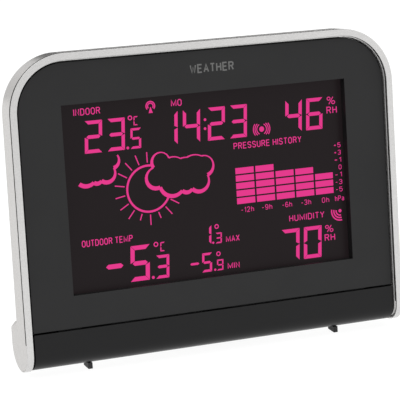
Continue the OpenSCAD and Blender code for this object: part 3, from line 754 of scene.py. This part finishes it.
def clear(name, colour, roughness):
    """A see-through plate: transmission, with faint mottling in its roughness."""
    material, tree, place = fresh(name)
    haze = add(tree, "TexNoise", {"Vector": place, "Scale": per_metre(4), "Detail": 2.0})
    tint = add(tree, "Mix", {"Factor": haze, "A": linear(colour), "B": linear("#f4f8f8")},
               data_type="RGBA")
    rough = add(tree, "MapRange", {"Value": haze, "To Min": roughness, "To Max": roughness*1.6})
    rough_shader(tree, tint, rough, **{"Transmission Weight": 1.0})
    return material


def printed_sleeve(name, body, end, first_x_mm, length_mm):
    """A cell's sleeve. The place along the cell is (x - first)/length less its whole part;
    beyond 0.72 the print changes colour."""
    material, tree, place = fresh(name)
    along = add(tree, "SeparateXYZ", {"Vector": place})
    cells = add(tree, "Math", {"Value": along.outputs["X"]}, operation="MULTIPLY_ADD")
    cells.inputs[1].default_value = 1/(length_mm*MM)
    cells.inputs[2].default_value = -first_x_mm/length_mm
    part = add(tree, "Math", {"Value": cells}, operation="FRACT")
    beyond = add(tree, "MapRange", {"Value": part, "From Min": 0.715, "From Max": 0.725})
    ink = add(tree, "TexNoise", {"Vector": place, "Scale": per_metre(3), "Detail": 3.0})
    base = add(tree, "Mix", {"Factor": ink, "A": linear(body), "B": linear("#2b2f38")},
               data_type="RGBA")
    tint = add(tree, "Mix", {"Factor": beyond, "A": base, "B": linear(end)}, data_type="RGBA")
    bump = add(tree, "Bump", {"Height": ink, "Distance": 0.01*MM})
    rough_shader(tree, tint, 0.3, bump, Metallic=0.35)
    return material


def dark_film(name, leak):
    """The polariser: nearly black itself, with a breath of the backlight leaking through."""
    material, tree, place = fresh(name)
    haze = add(tree, "TexNoise", {"Vector": place, "Scale": per_metre(35), "Detail": 2.0})
    glow = add(tree, "Mix", {"Factor": haze, "A": linear(leak), "B": linear("#181314")},
               data_type="RGBA")
    coat = add(tree, "TexNoise", {"Vector": place, "Scale": per_metre(0.25)})
    bump = add(tree, "Bump", {"Height": coat, "Distance": 0.0006*MM})
    rough_shader(tree, linear("#0a0809"), 0.35, bump,
                 **{"IOR": 1.18, "Emission Color": glow, "Emission Strength": 1.0})
    return material


# %% [markdown]
# ## A finish for every slot
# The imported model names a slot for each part, and one finish goes with each slot.
# So a part can never be forgotten, and parts of one material always match.

# %% Finishes
FINISHES = {
    "panel_black": panel_abs, "cover_black": cover_abs, "shell_black": shell_abs,
    "silver_frame": frame_silver, "silver_trim": trim_silver,
    "polariser_film": dark_film("matt_polariser_film", "#1b1517"),
    "key_black": moulded("satin_key_abs", "#1a1a1b", "#161617", 0.38, 0.4, 0.004),
    "foot_black": moulded("matt_foot_abs", "#161617", "#121213", 0.6, 0.5, 0.01),
    "rubber_pad": moulded("matt_rubber", "#141414", "#0f0f0f", 0.8, 0.6, 0.03),
    "foam": moulded("closed_cell_foam", "#0a0a0a", "#060606", 0.95, 0.8, 0.06, IOR=1.2),
    "switch_body": moulded("black_switch_resin", "#202022", "#19191b", 0.45, 0.3, 0.006),
    "chip_epoxy": moulded("moulded_epoxy", "#1b1b1c", "#141415", 0.55, 0.2, 0.01),
    "white_abs": moulded("white_abs", "#e6e4dd", "#dcdad2", 0.5, 0.5, 0.006),
    "white_film": moulded("white_polyester_film", "#f2f2f0", "#e8e8e6", 0.6, 1.5, 0.004),
    "lead_insulation": moulded("red_pvc", "#a81d1a", "#8f1410", 0.35, 0.5, 0.004),
    "ferrite": moulded("sintered_ferrite", "#1f1c1b", "#151312", 0.7, 0.3, 0.02),
    "led_resin": moulded("magenta_resin", "#d42a78", "#b81f66", 0.2, 0.5, 0.002),
    "display_glass": clear("bonded_glass", "#c8d6d2", 0.03),
    "clear_acrylic": clear("polished_acrylic", "#eef4f6", 0.05),
    "silicone": striped("layered_silicone", "#8c8c90", "#1a1a1c", 0.18, 0.6),
    "copper_wire": striped("enamelled_copper", "#c06a38", "#6e3216", 0.3, 0.3, 1.0),
    "steel_pin": drawn_metal("drawn_steel", "#b4b4b6", "#8f8f92", 0.28),
    "nickel_steel": drawn_metal("nickel_plated_spring_steel", "#c9c7c0", "#a8a69f", 0.25),
    "nickel_can": drawn_metal("nickel_plated_can", "#bdbcb8", "#9f9e9a", 0.32, 0.4),
    "zinc_screws": drawn_metal("zinc_plated_steel", "#b3b5b9", "#8d9095", 0.35, 0.2),
    "board_green": circuit_board("green_solder_mask", "#0e4a2a", "#2b7a4c"),
    "board_blue": circuit_board("blue_solder_mask", "#123a78", "#3562a6"),
    "cell_sleeve": printed_sleeve("printed_cell_sleeve", "#1d2027", "#b4713a", -64.25, 44.5),
}
for node in nodes.values():
    slot = node.data.materials[0].name
    node.data.materials.clear()
    node.data.materials.append(FINISHES[slot])
print(len(FINISHES), "finishes on", len(nodes), "parts")

# %% [markdown]
# ## Soft edges
# A mould never gives a knife edge, and a camera sees it: every edge of a real
# moulding catches a thin line of light. The CAD nodes keep their exact mesh, and a
# copy of each outer part is softened: corners merged, flat regions made whole,
# and the sharp edges rounded by two or three tenths of a millimetre. The copy
# stands where the part was and rides on the same body.

# %% Rounded copies of the outer parts


def softened(name, width_mm, body="housing", angle=35):
    """A copy of a CAD node with rounded edges. Loose corners are merged and flat regions
    become single faces, then edges sharper than angle are bevelled by width_mm."""
    mesh = nodes[name].data.copy()
    mesh.name = name + "_soft"
    work = bmesh.new()
    work.from_mesh(mesh)
    bmesh.ops.remove_doubles(work, verts=work.verts, dist=2e-6)
    bmesh.ops.dissolve_limit(work, angle_limit=math.radians(0.3), verts=work.verts,
                             edges=work.edges)
    work.to_mesh(mesh)
    work.free()
    for attribute in ("custom_normal", "sharp_face", "sharp_edge"):
        if attribute in mesh.attributes:
            mesh.attributes.remove(mesh.attributes[attribute])
    mesh.shade_smooth()
    mesh.set_sharp_from_angle(angle=math.radians(angle))
    made = bpy.data.objects.new(name + "_soft", mesh)
    bpy.context.scene.collection.objects.link(made)
    edge = made.modifiers.new("edge", "BEVEL")
    edge.width = width_mm*MM
    edge.segments = 2
    edge.limit_method = "ANGLE"
    edge.angle_limit = math.radians(angle)
    edge.harden_normals = True
    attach(made, body)
    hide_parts(name)
    print(made.name, len(mesh.polygons), "faces before rounding")


for name, width_mm, body in (
        ("side_frame", 0.25, "housing"), ("front_trim", 0.12, "housing"),
        ("front_bezel", 0.2, "housing"), ("lower_cover", 0.2, "housing"),
        ("rear_shell", 0.25, "housing"), ("left_foot", 0.2, "housing"),
        ("right_foot", 0.2, "housing"), ("battery_door", 0.15, "door"),
        ("stand", 0.3, "prop_stand"), ("slide_knob", 0.12, "backlight_slider"),
        *((f"key_{i}", 0.2, f"key_{i}_cap") for i in range(1, 7))):
    softened(name, width_mm, body)

# %% [markdown]
# ## Painted shade along the silver trim
# Behind the trim's front plate runs a groove. It is filled with a black strip that is
# painted shade: seen from the side it makes the fine dark line between the trim and the
# side band. A thinner black strip, also painted shade, lies in the corner between the
# trim's lip and its step and darkens the step. Both follow the arch of the frame, so
# both are one section carried along one outline, offset by different amounts.

# %% Two black strips of painted shade along the arch
RIM, CORNER_R = 3.3, 24.0
frame_corners = upright("side_frame")
ARCH_SIDE = frame_corners[:, 0].max() - RIM
ARCH_TOP = frame_corners[:, 2].max() - RIM


def arch_row(offset, low, points=40):
    """The frame's inner outline, grown by offset: up the right side, round the corner
    (side - r + r cos a, top - r + r sin a), over the top, and down the left side."""
    side, top, r = ARCH_SIDE + offset, ARCH_TOP + offset, CORNER_R - RIM + offset
    a = np.radians(np.linspace(0, 90, points))
    corner = np.stack([side - r + r*np.cos(a), top - r + r*np.sin(a)], -1)
    right = np.vstack([[side, low], corner])
    return np.vstack([right, right[::-1]*(-1, 1)])


def arch_shade_strip(name, u0, u1, y0, y1, low):
    """A black strip of painted shade between offsets u0 and u1 of the outline, from y0 back to y1."""
    strip = Sheet(y1, y1 - y0)
    strip.band(arch_row(u1, low), arch_row(u0, low))
    strip.piece(name, FINISHES["foam"])


# Painted shade: black strips in the foam finish, one filling the groove, one darkening the step's
# corner.
arch_shade_strip("groove_painted_shade", 1.3, 3.28, -1.49, -0.66, 12.1)
arch_shade_strip("step_painted_shade", 0.38, 0.46, -1.42, -0.62, 8.5)

# %% [markdown]
# ## Printed legends on the back
# Above each key stands what it does, and beside the slide and the inlet what they
# are for. Such legends are pad printed: a film of white ink about 0.01 mm thick.
# They use the same alphabet of strokes as the glass, on a face that looks back.

# %% Legends
ink = moulded("white_pad_print_ink", "#cfcfcd", "#bdbdbb", 0.6, 0.4, 0.001)
KEY_Z, KEY_PITCH, HUMP_BACK = 98.0, 16.0, 13.5
legends = Sheet(HUMP_BACK, 0.01, look=1)
for i, text in enumerate(("ROOM", "MEM", "-", "+", "SET", "MODE")):
    middle, half = KEY_PITCH*(i - 2.5), 0.95*len(text)
    if text in "+-":
        half = 0.75
    word(legends, text, middle - half, middle + half, KEY_Z + 5.4, KEY_Z + 7.2, 0.3)
for text, left, right, low in (("OFF", 54.0, 57.4, 94.6), ("ON", 60.4, 62.9, 94.6)):
    word(legends, text, left, right, low, low + 1.6, 0.26)
legends.piece("legends", ink)

BAR_BACK = 16.9
inlet_legend = Sheet(BAR_BACK, 0.01, look=1)
word(inlet_legend, "DC", -79.6, -76.2, 14.5, 16.0, 0.26)
inlet_legend.piece("inlet_legend", ink)
door_legend = Sheet(BAR_BACK, 0.01, look=1)
word(door_legend, "OPEN", 37.0, 43.0, 12.8, 14.8, 0.3)
door_legend.piece("door_legend", ink, body="door")

# %% [markdown]
# A plain word is printed in grey on the panel above the window, where such a
# station usually says what it is. It is the same ink, mixed darker.

# %% The word on the panel
grey_ink = moulded("grey_pad_print_ink", "#626261", "#585857", 0.55, 0.4, 0.001)
panel_word = Sheet(0.0, 0.01)
word(panel_word, "WEATHER", -7.0, 13.2, 116.8, 120.6, 0.62)
panel_word.piece("panel_word", grey_ink)
